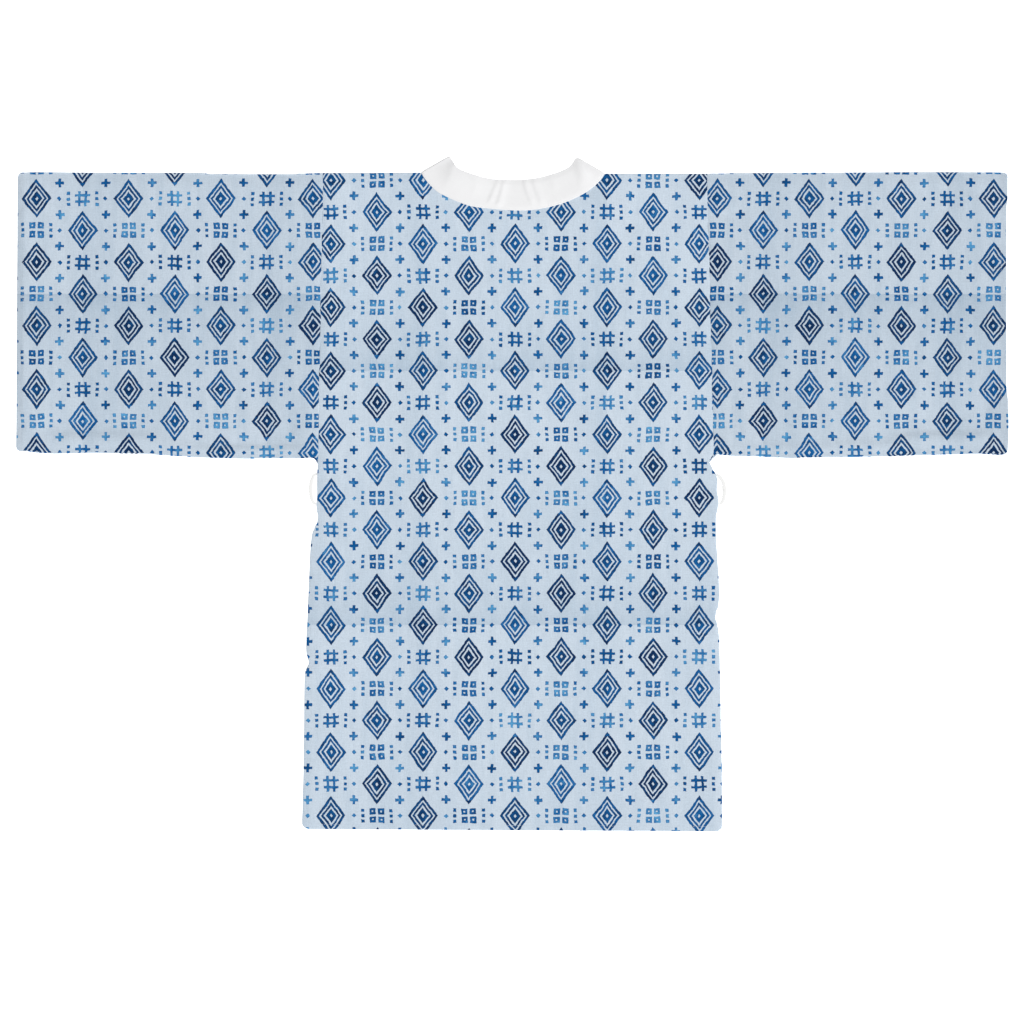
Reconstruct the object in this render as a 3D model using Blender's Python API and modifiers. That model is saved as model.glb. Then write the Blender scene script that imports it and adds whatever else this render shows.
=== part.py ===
"""Kimono robe, laid flat on its front with the back up.

The frame: X runs along the sleeves, Y runs from the hem to the neck and Z points up from the
surface that the robe lies on. The origin is at the bottom centre of the robe's box. All lengths
are in metres. Left and right are the wearer's, which are also the viewer's, as the back is up.
"""
import math
from collections import namedtuple

import bmesh
import bpy
from mathutils import Vector

# Cloth and seams
CLOTH = 0.0012
BAND_CLOTH = 0.0020
SEAM_GAP = 0.0003
HIDDEN_INSET = 0.0006

# Outline of the robe
SHOULDER_Y = 0.4384
CUFF_X = 0.6780
CORNER_R = 0.0055
HEM_LEFT_Y = -0.4588
HEM_RIGHT_Y = -0.4616

EdgeRow = namedtuple("EdgeRow", "at edge")

# The body's two side edges: x of the edge at a height y, from the shoulder down to the hem.
# The stretch above the sleeve's lower edge is the armhole seam, the rest is the side seam.
SIDE_LEFT = [
    EdgeRow(at=0.4384, edge=-0.2593),
    EdgeRow(at=0.0490, edge=-0.2662),
    EdgeRow(at=-0.0200, edge=-0.2662),
    EdgeRow(at=-0.0560, edge=-0.2743),
    EdgeRow(at=-0.1160, edge=-0.2768),
    EdgeRow(at=-0.1850, edge=-0.2813),
    EdgeRow(at=-0.2260, edge=-0.2790),
    EdgeRow(at=-0.2640, edge=-0.2840),
    EdgeRow(at=-0.4588, edge=-0.2867),
]
SIDE_RIGHT = [
    EdgeRow(at=0.4384, edge=0.2675),
    EdgeRow(at=0.0520, edge=0.2765),
    EdgeRow(at=0.0400, edge=0.2712),
    EdgeRow(at=0.0220, edge=0.2799),
    EdgeRow(at=-0.0100, edge=0.2813),
    EdgeRow(at=-0.0600, edge=0.2772),
    EdgeRow(at=-0.1180, edge=0.2813),
    EdgeRow(at=-0.1720, edge=0.2775),
    EdgeRow(at=-0.2300, edge=0.2830),
    EdgeRow(at=-0.4616, edge=0.2854),
]

# The sleeves' lower edges: y of the edge at a distance x from the centre
SLEEVE_LOW_LEFT = [
    EdgeRow(at=-0.6780, edge=0.0580),
    EdgeRow(at=-0.5000, edge=0.0562),
    EdgeRow(at=-0.4300, edge=0.0504),
    EdgeRow(at=-0.2600, edge=0.0490),
]
SLEEVE_LOW_RIGHT = [
    EdgeRow(at=0.2600, edge=0.0545),
    EdgeRow(at=0.3600, edge=0.0504),
    EdgeRow(at=0.4400, edge=0.0504),
    EdgeRow(at=0.6000, edge=0.0556),
    EdgeRow(at=0.6780, edge=0.0570),
]

# The neck: the back's seam is an arc, and the band's free edge lies above it
NECK_X = -0.0007
NECK_BOTTOM_Y = 0.3865
NECK_R = 0.1946
NECK_CENTRE = Vector((NECK_X, NECK_BOTTOM_Y + NECK_R))

FreeRow = namedtuple("FreeRow", "x y")

# The free edge round the back of the neck, between the two peaks where the band folds over
FREE_EDGE = [
    FreeRow(x=-0.0796, y=0.4497),
    FreeRow(x=-0.0713, y=0.4428),
    FreeRow(x=-0.0549, y=0.4373),
    FreeRow(x=-0.0302, y=0.4319),
    FreeRow(x=-0.0010, y=0.4288),
    FreeRow(x=0.0300, y=0.4312),
    FreeRow(x=0.0604, y=0.4387),
    FreeRow(x=0.0768, y=0.4456),
    FreeRow(x=0.0850, y=0.4552),
]
PEAK_LEFT = Vector((-0.0885, 0.4616))
PEAK_RIGHT = Vector((0.0919, 0.4599))

# The band on the fronts: its seam runs straight up, then leans out to the shoulder
BAND_SHOULDER_X = 0.1325
BAND_CENTRE_GAP = 0.0060
BAND_WIDTH = 0.0500
BAND_BEND_R = 0.0600
BAND_LOW_MID_Z = BAND_CLOTH / 2
BAND_FOLD_R = 0.0013
BAND_HIGH_MID_Z = BAND_LOW_MID_Z + 2 * BAND_FOLD_R

# Puckers of the band at the back of the neck, counted along its free edge from 0 to 1
PuckerRow = namedtuple("PuckerRow", "share half_width height")
PUCKERS = [
    PuckerRow(share=0.12, half_width=0.050, height=0.0007),
    PuckerRow(share=0.30, half_width=0.060, height=0.0005),
    PuckerRow(share=0.42, half_width=0.035, height=0.0009),
    PuckerRow(share=0.53, half_width=0.045, height=0.0016),
    PuckerRow(share=0.65, half_width=0.035, height=0.0010),
    PuckerRow(share=0.88, half_width=0.050, height=0.0008),
]

# Air under the upper layer, and the soft troughs that press it down again
AIR = 0.0015
AIR_EDGE = 0.0300
SLEEVE_EDGE_R = 0.00145
BACK_LIFT = CLOTH + SEAM_GAP
BAND_LIFT = BAND_CLOTH + SEAM_GAP - BACK_LIFT
BAND_LIFT_FULL = 0.0300
BAND_LIFT_END = 0.0900

TroughRow = namedtuple("TroughRow", "x0 y0 x1 y1 half_width depth")
TROUGHS = [
    TroughRow(x0=-0.675, y0=0.381, x1=-0.635, y1=0.403, half_width=0.018, depth=0.90),
    TroughRow(x0=-0.675, y0=0.144, x1=-0.645, y1=0.112, half_width=0.020, depth=0.80),
    TroughRow(x0=-0.635, y0=0.085, x1=-0.388, y1=0.074, half_width=0.016, depth=1.00),
    TroughRow(x0=-0.317, y0=0.067, x1=-0.273, y1=0.102, half_width=0.018, depth=0.90),
    TroughRow(x0=-0.344, y0=0.399, x1=-0.263, y1=0.385, half_width=0.020, depth=0.70),
    TroughRow(x0=0.270, y0=0.098, x1=0.314, y1=0.067, half_width=0.018, depth=0.90),
    TroughRow(x0=0.436, y0=0.072, x1=0.642, y1=0.088, half_width=0.016, depth=1.00),
    TroughRow(x0=0.646, y0=0.090, x1=0.674, y1=0.134, half_width=0.020, depth=0.80),
    TroughRow(x0=0.615, y0=0.408, x1=0.674, y1=0.377, half_width=0.020, depth=0.90),
    TroughRow(x0=0.270, y0=0.381, x1=0.310, y1=0.389, half_width=0.018, depth=0.60),
    TroughRow(x0=-0.242, y0=0.260, x1=-0.200, y1=0.274, half_width=0.020, depth=0.80),
    TroughRow(x0=-0.250, y0=0.175, x1=-0.214, y1=0.242, half_width=0.020, depth=0.80),
    TroughRow(x0=0.207, y0=0.274, x1=0.247, y1=0.260, half_width=0.020, depth=0.80),
    TroughRow(x0=0.229, y0=0.233, x1=0.265, y1=0.175, half_width=0.020, depth=0.80),
    TroughRow(x0=0.211, y0=0.367, x1=0.247, y1=0.359, half_width=0.018, depth=0.60),
]

# Belt loops
LOOP_R = 0.0014
LoopRow = namedtuple("LoopRow", "name side_edge side_sign middle_y half_height bulge")
LOOPS = [
    LoopRow(name="belt_loop_left", side_edge=SIDE_LEFT, side_sign=-1, middle_y=0.0040,
            half_height=0.0210, bulge=0.0120),
    LoopRow(name="belt_loop_right", side_edge=SIDE_RIGHT, side_sign=1, middle_y=0.0030,
            half_height=0.0190, bulge=0.0105),
]
LOOP_POINTS = 17

# Colours
PRINT_BLUE = (0.50, 0.60, 0.70, 1.0)
BAND_WHITE = (0.87, 0.87, 0.88, 1.0)
LOOP_WHITE = (0.90, 0.90, 0.88, 1.0)


def clear_scene():
    for old in list(bpy.data.objects):
        bpy.data.objects.remove(old, do_unlink=True)


def cloth_material(name, colour, roughness):
    material = bpy.data.materials.new(name)
    material.use_nodes = True
    shader = material.node_tree.nodes["Principled BSDF"]
    shader.inputs["Base Color"].default_value = colour
    shader.inputs["Roughness"].default_value = roughness
    shader.inputs["Metallic"].default_value = 0.0
    return material


def ease(share):
    """A smooth step from 0 to 1."""
    share = min(max(share, 0.0), 1.0)
    return share * share * (3.0 - 2.0 * share)


def mix(low, high, share):
    return low + (high - low) * share


def edge_at(table, at):
    """The edge between two rows of a table, eased so that it waves and has no kinks."""
    rows = sorted(table)
    if at <= rows[0].at:
        return rows[0].edge
    for low, high in zip(rows, rows[1:]):
        if at <= high.at:
            return mix(low.edge, high.edge, ease((at - low.at) / (high.at - low.at)))
    return rows[-1].edge


def hem_y(x):
    half = SIDE_RIGHT[-1].edge
    return mix(HEM_LEFT_Y, HEM_RIGHT_Y, (x + half) / (2 * half))


def corner_drop(distance):
    """How far a rounded corner pulls an edge in, at a distance from the other edge."""
    if distance >= CORNER_R:
        return 0.0
    reach = CORNER_R - max(distance, 0.0)
    return CORNER_R - math.sqrt(CORNER_R ** 2 - reach ** 2)


def distance_to_segment(point, start, end):
    along = end - start
    share = (point - start).dot(along) / along.length_squared
    return (point - start - along * min(max(share, 0.0), 1.0)).length


def troughs_at(point):
    """What is left of the air at a point: 1 away from the troughs, 0 in the deepest."""
    left = 1.0
    for row in TROUGHS:
        away = distance_to_segment(point, Vector((row.x0, row.y0)), Vector((row.x1, row.y1)))
        left *= 1.0 - row.depth * math.exp(-((away / row.half_width) ** 2))
    return left


def air_at(point, edge_distance):
    """Height of the air between the layers, which dies away to nothing at the edges."""
    return AIR * ease(edge_distance / AIR_EDGE) * troughs_at(point)


def grid_mesh(columns, rows, place):
    """A grid whose point at shares u, v of its width and length lies at place(u, v)."""
    mesh = bmesh.new()
    bmesh.ops.create_grid(mesh, x_segments=columns, y_segments=rows, size=0.5)
    for vert in mesh.verts:
        vert.co = place(vert.co.x + 0.5, vert.co.y + 0.5)
    return mesh


def cloth_object(name, mesh, material, collection, wall, offset):
    """An open surface made into a wall of cloth."""
    data = bpy.data.meshes.new(name)
    mesh.to_mesh(data)
    mesh.free()
    data.materials.append(material)
    data.shade_smooth()
    data.set_sharp_from_angle(angle=math.radians(40))
    piece = bpy.data.objects.new(name, data)
    collection.objects.link(piece)
    solid = piece.modifiers.new("wall", "SOLIDIFY")
    solid.thickness = wall
    solid.offset = offset
    solid.use_even_offset = True
    return piece


def fold_side(sign):
    """The line where the band folds over a shoulder, with the strip's own direction there.

    The seam end of the line lies on the neck's arc and the free end under the peak. The band
    runs square to the line, so its direction up the front follows from the line.
    """
    peak = PEAK_LEFT if sign < 0 else PEAK_RIGHT
    across = (peak - Vector((sign * BAND_SHOULDER_X, SHOULDER_Y))).normalized()
    upward = Vector((-across.y, across.x)) * -sign
    inset = BAND_FOLD_R + BAND_CLOTH / 2
    free = peak - upward * inset
    seam_y = SHOULDER_Y - inset * upward.y
    seam_x = NECK_X + sign * math.sqrt(NECK_R ** 2 - (NECK_CENTRE.y - seam_y) ** 2)
    return Vector((seam_x, seam_y)), free, upward


def front_seam(sign):
    """Points of the band's seam up a front: hem, foot and head of the bend, and the fold.

    The bend is an arc about a pivot on the panel's side of the seam.
    """
    seam, free, upward = fold_side(sign)
    lean = math.atan2(abs(upward.x), upward.y)
    straight_x = sign * (BAND_CENTRE_GAP + BAND_WIDTH)
    pivot_x = straight_x + sign * BAND_BEND_R
    head_x = pivot_x - sign * BAND_BEND_R * math.cos(lean)
    head_y = seam.y - (seam.x - head_x) * upward.y / upward.x
    pivot = Vector((pivot_x, head_y - BAND_BEND_R * math.sin(lean)))
    return straight_x, pivot, lean, Vector((head_x, head_y)), seam, free


def front_seam_x(sign, y):
    """The x of the seam between a front and the band, at a height y."""
    straight_x, pivot, lean, head, seam, free = front_seam(sign)
    if y <= pivot.y:
        return straight_x
    if y <= head.y:
        return pivot.x - sign * math.sqrt(BAND_BEND_R ** 2 - (y - pivot.y) ** 2)
    return mix(head.x, seam.x, (y - head.y) / (seam.y - head.y))


def front_band_stations(sign, straight_steps=9, bend_steps=4, slant_steps=6):
    """Pairs of seam and free points of the band, from the hem up to the fold."""
    straight_x, pivot, lean, head, seam, free = front_seam(sign)
    inner_x = sign * BAND_CENTRE_GAP
    hem = hem_y(straight_x) + HIDDEN_INSET
    stations = []
    for step in range(straight_steps):
        y = mix(hem, pivot.y, step / straight_steps)
        stations.append((Vector((straight_x, y)), Vector((inner_x, y))))
    for step in range(bend_steps):
        turn = lean * step / bend_steps
        spoke = Vector((-sign * math.cos(turn), math.sin(turn)))
        stations.append((pivot + spoke * BAND_BEND_R, pivot + spoke * (BAND_BEND_R + BAND_WIDTH)))
    spoke = Vector((-sign * math.cos(lean), math.sin(lean)))
    head_free = pivot + spoke * (BAND_BEND_R + BAND_WIDTH)
    for step in range(slant_steps + 1):
        share = step / slant_steps
        stations.append((head.lerp(seam, share), head_free.lerp(free, share)))
    return stations


def free_edge_point(points, share):
    """A point on the free edge at a share of its length, on a smooth curve through its rows."""
    lengths = [0.0]
    for start, end in zip(points, points[1:]):
        lengths.append(lengths[-1] + (end - start).length)
    wanted = share * lengths[-1]
    last = len(points) - 2
    index = 0
    while index < last and wanted > lengths[index + 1]:
        index += 1
    t = (wanted - lengths[index]) / (lengths[index + 1] - lengths[index])
    before = points[max(index - 1, 0)]
    start, end = points[index], points[index + 1]
    after = points[min(index + 2, len(points) - 1)]
    return 0.5 * (2 * start + (end - before) * t
                  + (2 * before - 5 * start + 4 * end - after) * t ** 2
                  + (3 * start - before - 3 * end + after) * t ** 3)


def pucker_height(share):
    return sum(row.height * math.exp(-(((share - row.share) / row.half_width) ** 2))
               for row in PUCKERS)


def band_stations(fold_steps=6, neck_steps=34):
    """The whole band, hem to hem: seam point, free point, middle height, free edge's lift."""
    stations = []
    for seam, free in front_band_stations(-1):
        stations.append((seam, free, BAND_LOW_MID_Z, 0.0))
    ends = {sign: fold_side(sign) for sign in (-1, 1)}
    rise = (BAND_HIGH_MID_Z - BAND_LOW_MID_Z) / 2

    def fold(sign, turns):
        seam, free, upward = ends[sign]
        rows = []
        for turn in turns:
            out = upward * BAND_FOLD_R * math.cos(turn)
            height = BAND_LOW_MID_Z + rise + rise * math.sin(turn)
            rows.append((seam + out, free + out, height, 0.0))
        return rows

    turns = [math.pi * (step / fold_steps - 0.5) for step in range(1, fold_steps + 1)]
    stations += fold(-1, turns)
    edge = [ends[-1][1]] + [Vector((row.x, row.y)) for row in FREE_EDGE] + [ends[1][1]]
    start = math.asin((ends[-1][0].x - NECK_X) / NECK_R)
    end = math.asin((ends[1][0].x - NECK_X) / NECK_R)
    for step in range(1, neck_steps):
        share = step / neck_steps
        turn = mix(start, end, share)
        seam = NECK_CENTRE + Vector((math.sin(turn), -math.cos(turn))) * NECK_R
        lift = pucker_height(share) * ease(share * 12) * ease((1 - share) * 12)
        stations.append((seam, free_edge_point(edge, share), BAND_HIGH_MID_Z, lift))
    stations += fold(1, [-turn for turn in [-math.pi / 2] + turns[:-1]])
    for seam, free in reversed(front_band_stations(1)):
        stations.append((seam, free, BAND_LOW_MID_Z, 0.0))
    return stations


def make_neckband(material, collection, columns=5):
    stations = band_stations()
    last = len(stations) - 1

    def place(u, v):
        seam, free, height, lift = stations[round(v * last)]
        point = seam.lerp(free, u)
        return Vector((point.x, point.y, height + lift * ease(u)))

    return cloth_object("neckband", grid_mesh(columns, last, place), material, collection,
                        BAND_CLOTH, 0.0)


def make_front(name, sign, material, collection, columns=8, row_step=0.030):
    """A front panel: flat on the surface, from the side seam to the band's seam."""
    side = SIDE_LEFT if sign < 0 else SIDE_RIGHT
    heights = panel_heights([row.at for row in side], row_step)
    last = len(heights) - 1

    def place(u, v):
        y = heights[round(v * last)]
        outer = edge_at(side, y) - sign * (HIDDEN_INSET + corner_drop(y - heights[0]))
        inner = front_seam_x(sign, y) + sign * SEAM_GAP
        x = mix(outer, inner, u) if sign < 0 else mix(inner, outer, u)
        low = max(y, hem_y(x) + HIDDEN_INSET)
        return Vector((x, low, 0.0))

    return cloth_object(name, grid_mesh(columns, last, place), material, collection, CLOTH, 1.0)


def panel_heights(wanted, row_step):
    """Heights of a panel's rows: each wanted one, and even steps between them."""
    hem = min(HEM_LEFT_Y, HEM_RIGHT_Y)
    fixed = sorted(set(y for y in wanted if y > hem + 2 * CORNER_R) | {hem, hem + CORNER_R})
    heights = [fixed[0]]
    for low, high in zip(fixed, fixed[1:]):
        steps = max(1, math.ceil((high - low) / row_step))
        heights += [mix(low, high, step / steps) for step in range(1, steps + 1)]
    return heights


def make_back(material, collection, shoulder_columns=9, neck_columns=18, row_step=0.036):
    """The back panel: it lies on the fronts and the band, and is hollowed at the neck."""
    rough_turn = math.acos((NECK_CENTRE.y - SHOULDER_Y) / NECK_R)
    neck_r = (NECK_R + SEAM_GAP) / math.cos(rough_turn / neck_columns)
    half_turn = math.acos((NECK_CENTRE.y - SHOULDER_Y) / neck_r)
    neck_half = neck_r * math.sin(half_turn)
    columns = 2 * shoulder_columns + neck_columns
    wanted = [row.at for row in SIDE_LEFT + SIDE_RIGHT[2:4]]
    heights = panel_heights(wanted, row_step)
    last = len(heights) - 1
    left_arm = edge_at(SIDE_LEFT, SHOULDER_Y)
    right_arm = edge_at(SIDE_RIGHT, SHOULDER_Y)

    def column_top(column):
        """Where a column of points ends: on a shoulder, or on the neck's arc."""
        past_neck = column - shoulder_columns - neck_columns
        if past_neck >= 0:
            x = mix(NECK_X + neck_half, right_arm, past_neck / shoulder_columns)
            return x, SHOULDER_Y
        if column <= shoulder_columns:
            return mix(left_arm, NECK_X - neck_half, column / shoulder_columns), SHOULDER_Y
        turn = mix(-half_turn, half_turn, (column - shoulder_columns) / neck_columns)
        return NECK_X + neck_r * math.sin(turn), NECK_CENTRE.y - neck_r * math.cos(turn)

    def place(u, v):
        x_top, y_top = column_top(round(u * columns))
        across = (x_top - left_arm) / (right_arm - left_arm)
        hem = heights[0]
        low = hem_y(x_top)
        y = mix(low, y_top, (heights[round(v * last)] - hem) / (SHOULDER_Y - hem))
        left = edge_at(SIDE_LEFT, y) + corner_drop(y - HEM_LEFT_Y)
        right = edge_at(SIDE_RIGHT, y) - corner_drop(y - HEM_RIGHT_Y)
        x = mix(left, right, across)
        lift = band_lift(Vector((x, y)))
        air = air_at(Vector((x, y)), min(x - left, right - x, SHOULDER_Y - y, y - low))
        return Vector((x, y, BACK_LIFT + lift + air * (1.0 - lift / BAND_LIFT)))

    return cloth_object("back", grid_mesh(columns, last, place), material, collection, CLOTH, 1.0)


def band_lift(point):
    """How far the band below pushes the back up at a point."""
    inner = BAND_CENTRE_GAP + BAND_WIDTH
    away = 1.0
    for sign in (-1, 1):
        if point.x * sign >= 0.0:
            away = max(0.0, sign * (point.x - front_seam_x(sign, min(point.y, SHOULDER_Y))))
    if abs(point.x) <= inner:
        away = 0.0
    return BAND_LIFT * (1.0 - ease((away - BAND_LIFT_FULL) / (BAND_LIFT_END - BAND_LIFT_FULL)))


def sleeve_ring(top_steps=16, edge_steps=4, bottom_steps=5):
    """The sleeve's outline, once round: where a point lies across, and its turn at an edge."""
    ring = [("top", step / top_steps, 0.0) for step in range(top_steps)]
    ring += [("fold", 1.0, math.pi * (0.5 - step / edge_steps)) for step in range(edge_steps)]
    ring += [("under", 1.0 - step / bottom_steps, 0.0) for step in range(bottom_steps)]
    ring += [("seam", 0.0, math.pi * (1.5 - step / edge_steps)) for step in range(edge_steps)]
    return ring + [ring[0]]


def make_sleeve(name, sign, material, collection, length_steps=18):
    """A sleeve: a flat tube, folded along its top edge and open at the cuff and armhole."""
    side = SIDE_LEFT if sign < 0 else SIDE_RIGHT
    low_edge = SLEEVE_LOW_LEFT if sign < 0 else SLEEVE_LOW_RIGHT
    ring = sleeve_ring()
    radius = SLEEVE_EDGE_R
    corner_shares = [0.0, 0.15, 0.45, 1.0]
    arm_x = edge_at(side, SHOULDER_Y / 2)
    length = abs(sign * CUFF_X - arm_x)
    stations = [share * CORNER_R for share in corner_shares]
    for step in range(1, length_steps + 1):
        stations.append(mix(CORNER_R, length, step / length_steps))
    order = stations if sign < 0 else stations[::-1]
    last = len(order) - 1

    def place(u, v):
        from_cuff = order[round(u * last)]
        kind, across, turn = ring[round(v * (len(ring) - 1))]
        nominal = sign * (CUFF_X - from_cuff)
        drop = corner_drop(from_cuff)
        low = edge_at(low_edge, nominal) + drop + radius
        high = SHOULDER_Y - drop - radius
        y = mix(low, high, across) + radius * math.cos(turn) * (kind in ("fold", "seam"))
        arm = edge_at(side, y) + sign * SEAM_GAP
        x = mix(sign * CUFF_X, arm, from_cuff / length)
        if kind == "under":
            z = 0.0
        elif kind == "top":
            z = 2 * radius + air_at(Vector((x, y)), min(y - low, high - y))
        else:
            z = radius + radius * math.sin(turn)
        return Vector((x, y, z))

    mesh = grid_mesh(last, len(ring) - 1, place)
    bmesh.ops.remove_doubles(mesh, verts=mesh.verts, dist=1e-6)
    return cloth_object(name, mesh, material, collection, CLOTH, -1.0)


def make_belt_loop(row, material, collection):
    """A belt loop: a half ellipse of cord that leaves the side seam and comes back to it."""
    spline_points = []
    for step in range(LOOP_POINTS):
        turn = math.pi * step / (LOOP_POINTS - 1)
        y = row.middle_y + row.half_height * math.cos(turn)
        end = row.middle_y + row.half_height * (1 if turn < math.pi / 2 else -1)
        start_x = edge_at(row.side_edge, mix(y, end, 0.5)) + row.side_sign * SEAM_GAP * 2
        spline_points.append((start_x + row.side_sign * row.bulge * math.sin(turn), y, LOOP_R))
    curve = bpy.data.curves.new(row.name, "CURVE")
    curve.dimensions = "3D"
    curve.bevel_depth = LOOP_R
    curve.bevel_resolution = 2
    curve.use_fill_caps = True
    spline = curve.splines.new("POLY")
    spline.points.add(len(spline_points) - 1)
    for target, point in zip(spline.points, spline_points):
        target.co = (*point, 1.0)
    curve.materials.append(material)
    piece = bpy.data.objects.new(row.name, curve)
    collection.objects.link(piece)
    return piece


def main():
    clear_scene()
    collection = bpy.data.collections.new("kimono_robe")
    bpy.context.scene.collection.children.link(collection)
    names = ["back", "front_left", "front_right", "sleeve_left", "sleeve_right"]
    printed = {name: cloth_material(name + "_cloth", PRINT_BLUE, 0.85) for name in names}
    make_back(printed["back"], collection)
    make_front("front_left", -1, printed["front_left"], collection)
    make_front("front_right", 1, printed["front_right"], collection)
    make_sleeve("sleeve_left", -1, printed["sleeve_left"], collection)
    make_sleeve("sleeve_right", 1, printed["sleeve_right"], collection)
    make_neckband(cloth_material("neckband_cloth", BAND_WHITE, 0.6), collection)
    for row in LOOPS:
        make_belt_loop(row, cloth_material(row.name + "_cord", LOOP_WHITE, 0.8), collection)


main()
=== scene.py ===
"""The looks of a kimono robe that lies flat on its front, seen from straight above.

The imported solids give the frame. Each one is replaced by a fine shell of cloth with its soft
creases, puckered seams and hems. The cloth's print is worked out by shader nodes from a cloth
map in metres. All lengths are in metres, in the frame of the solids: X along the sleeves,
Y from the hem to the neck, Z up.
"""
import math

import bmesh
import bpy
import numpy as np
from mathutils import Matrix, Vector


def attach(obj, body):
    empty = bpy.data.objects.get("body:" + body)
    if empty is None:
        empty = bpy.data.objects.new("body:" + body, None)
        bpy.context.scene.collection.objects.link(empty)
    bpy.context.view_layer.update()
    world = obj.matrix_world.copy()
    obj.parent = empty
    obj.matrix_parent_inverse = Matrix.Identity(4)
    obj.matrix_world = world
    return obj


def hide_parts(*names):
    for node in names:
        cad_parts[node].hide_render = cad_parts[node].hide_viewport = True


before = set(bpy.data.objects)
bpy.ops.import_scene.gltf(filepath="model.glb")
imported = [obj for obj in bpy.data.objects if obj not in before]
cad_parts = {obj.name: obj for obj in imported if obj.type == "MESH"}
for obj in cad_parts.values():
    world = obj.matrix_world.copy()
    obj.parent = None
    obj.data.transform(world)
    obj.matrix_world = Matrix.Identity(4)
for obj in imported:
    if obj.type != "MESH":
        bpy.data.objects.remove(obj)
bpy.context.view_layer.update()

# Where the photograph's picture lies in the frame
PIXEL = 0.001372
PICTURE_PIXELS = 1024
ORIGIN_PIXEL_Y = 492.75
VIEW_CENTRE_Y = (ORIGIN_PIXEL_Y - PICTURE_PIXELS / 2) * PIXEL
LENS = 85.0
SENSOR = 36.0

# What a level white surface sends back, as a share of full white on the screen
LIGHT_LEVEL = 1.18
WORLD_SHARE = 0.55
SUN_LEANS = (0.75, -0.66)
SUN_RISES = 0.80
SUN_SPREAD_DEGREES = 24
FLOOR_SIZE = 12.0
FLOOR_Z = -0.0004
FLOOR_GLOW = 0.80

# Cloth
CLOTH = 0.0006
BAND_CLOTH = 0.0020
SEAM_GAP = 0.0003
HIDDEN_INSET = 0.0008
HEM_WIDTH = 0.0080
HEM_STEP = 0.00012
HEM_STEP_REACH = 0.0020
STITCH_ROW = 0.0012
STITCH_DIP = 0.00010
STITCH_DIP_REACH = 0.0009

# Outline of the robe, with the same main sizes as the solids
SHOULDER_Y = 0.4384
CUFF_X = 0.6780
CUFF_CORNER_R = 0.0058
HEM_CORNER_R = 0.0090
HEM_LEFT_Y = -0.4610
HEM_RIGHT_Y = -0.4644
HEM_STITCHED = (-0.279, 0.279)
CUFF_STITCHED = (0.066, 0.430)
CUFF_STITCH_X = CUFF_X - HEM_WIDTH + 0.0002

# The upper edge of the shoulders and sleeves, and the cuffs: rows of a place along the edge
# and the edge there
TOP_EDGE = np.array([
    (-0.680, 0.4388), (-0.655, 0.4396), (-0.560, 0.4388), (-0.470, 0.4388), (-0.426, 0.4387),
    (-0.412, 0.4370), (-0.300, 0.4368), (-0.288, 0.4378), (-0.262, 0.4384), (-0.124, 0.4386),
    (0.128, 0.4372), (0.236, 0.4372), (0.262, 0.4374), (0.290, 0.4378), (0.302, 0.4384),
    (0.440, 0.4390), (0.555, 0.4397), (0.650, 0.4395), (0.680, 0.4391)])
CUFF_EDGE = {
    -1: np.array([(0.056, -0.6797), (0.105, -0.6792), (0.250, -0.6786), (0.370, -0.6778),
                  (0.440, -0.6775)]),
    1: np.array([(0.052, 0.6798), (0.095, 0.6808), (0.125, 0.6799), (0.145, 0.6778),
                 (0.260, 0.6774), (0.388, 0.6776), (0.405, 0.6793), (0.440, 0.6796)])}

# The body's side edges: rows of height y and edge x, from the hem up to the shoulder
SIDE_LEFT = np.array([
    (-0.4588, -0.2879), (-0.4267, -0.2869), (-0.3774, -0.2857), (-0.3116, -0.2849),
    (-0.2704, -0.2846), (-0.2540, -0.2842), (-0.2458, -0.2835), (-0.2375, -0.2794),
    (-0.2334, -0.2779), (-0.2293, -0.2791), (-0.2211, -0.2816), (-0.2129, -0.2822),
    (-0.2046, -0.2817), (-0.1553, -0.2797), (-0.1224, -0.2782), (-0.0895, -0.2769),
    (-0.0730, -0.2760), (-0.0566, -0.2741), (-0.0483, -0.2710), (-0.0401, -0.2667),
    (-0.0319, -0.2657), (-0.0237, -0.2676), (-0.0154, -0.2682), (-0.0072, -0.2671),
    (0.0257, -0.2671), (0.0380, -0.2661), (0.1300, -0.2650), (0.2300, -0.2630),
    (0.4384, -0.2593)])
SIDE_RIGHT = np.array([
    (-0.4616, 0.2882), (-0.3774, 0.2879), (-0.3527, 0.2874), (-0.3116, 0.2864),
    (-0.2704, 0.2858), (-0.2293, 0.2851), (-0.2129, 0.2841), (-0.2046, 0.2846),
    (-0.1882, 0.2832), (-0.1800, 0.2813), (-0.1717, 0.2789), (-0.1635, 0.2798),
    (-0.1553, 0.2832), (-0.1388, 0.2845), (-0.1141, 0.2834), (-0.0895, 0.2817),
    (-0.0648, 0.2800), (-0.0319, 0.2798), (-0.0237, 0.2817), (-0.0154, 0.2835),
    (-0.0072, 0.2827), (0.0024, 0.2810), (0.0092, 0.2811), (0.0175, 0.2821), (0.0257, 0.2793),
    (0.0339, 0.2742), (0.0422, 0.2709), (0.0560, 0.2765), (0.1500, 0.2748), (0.2600, 0.2718),
    (0.4384, 0.2675)])

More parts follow.
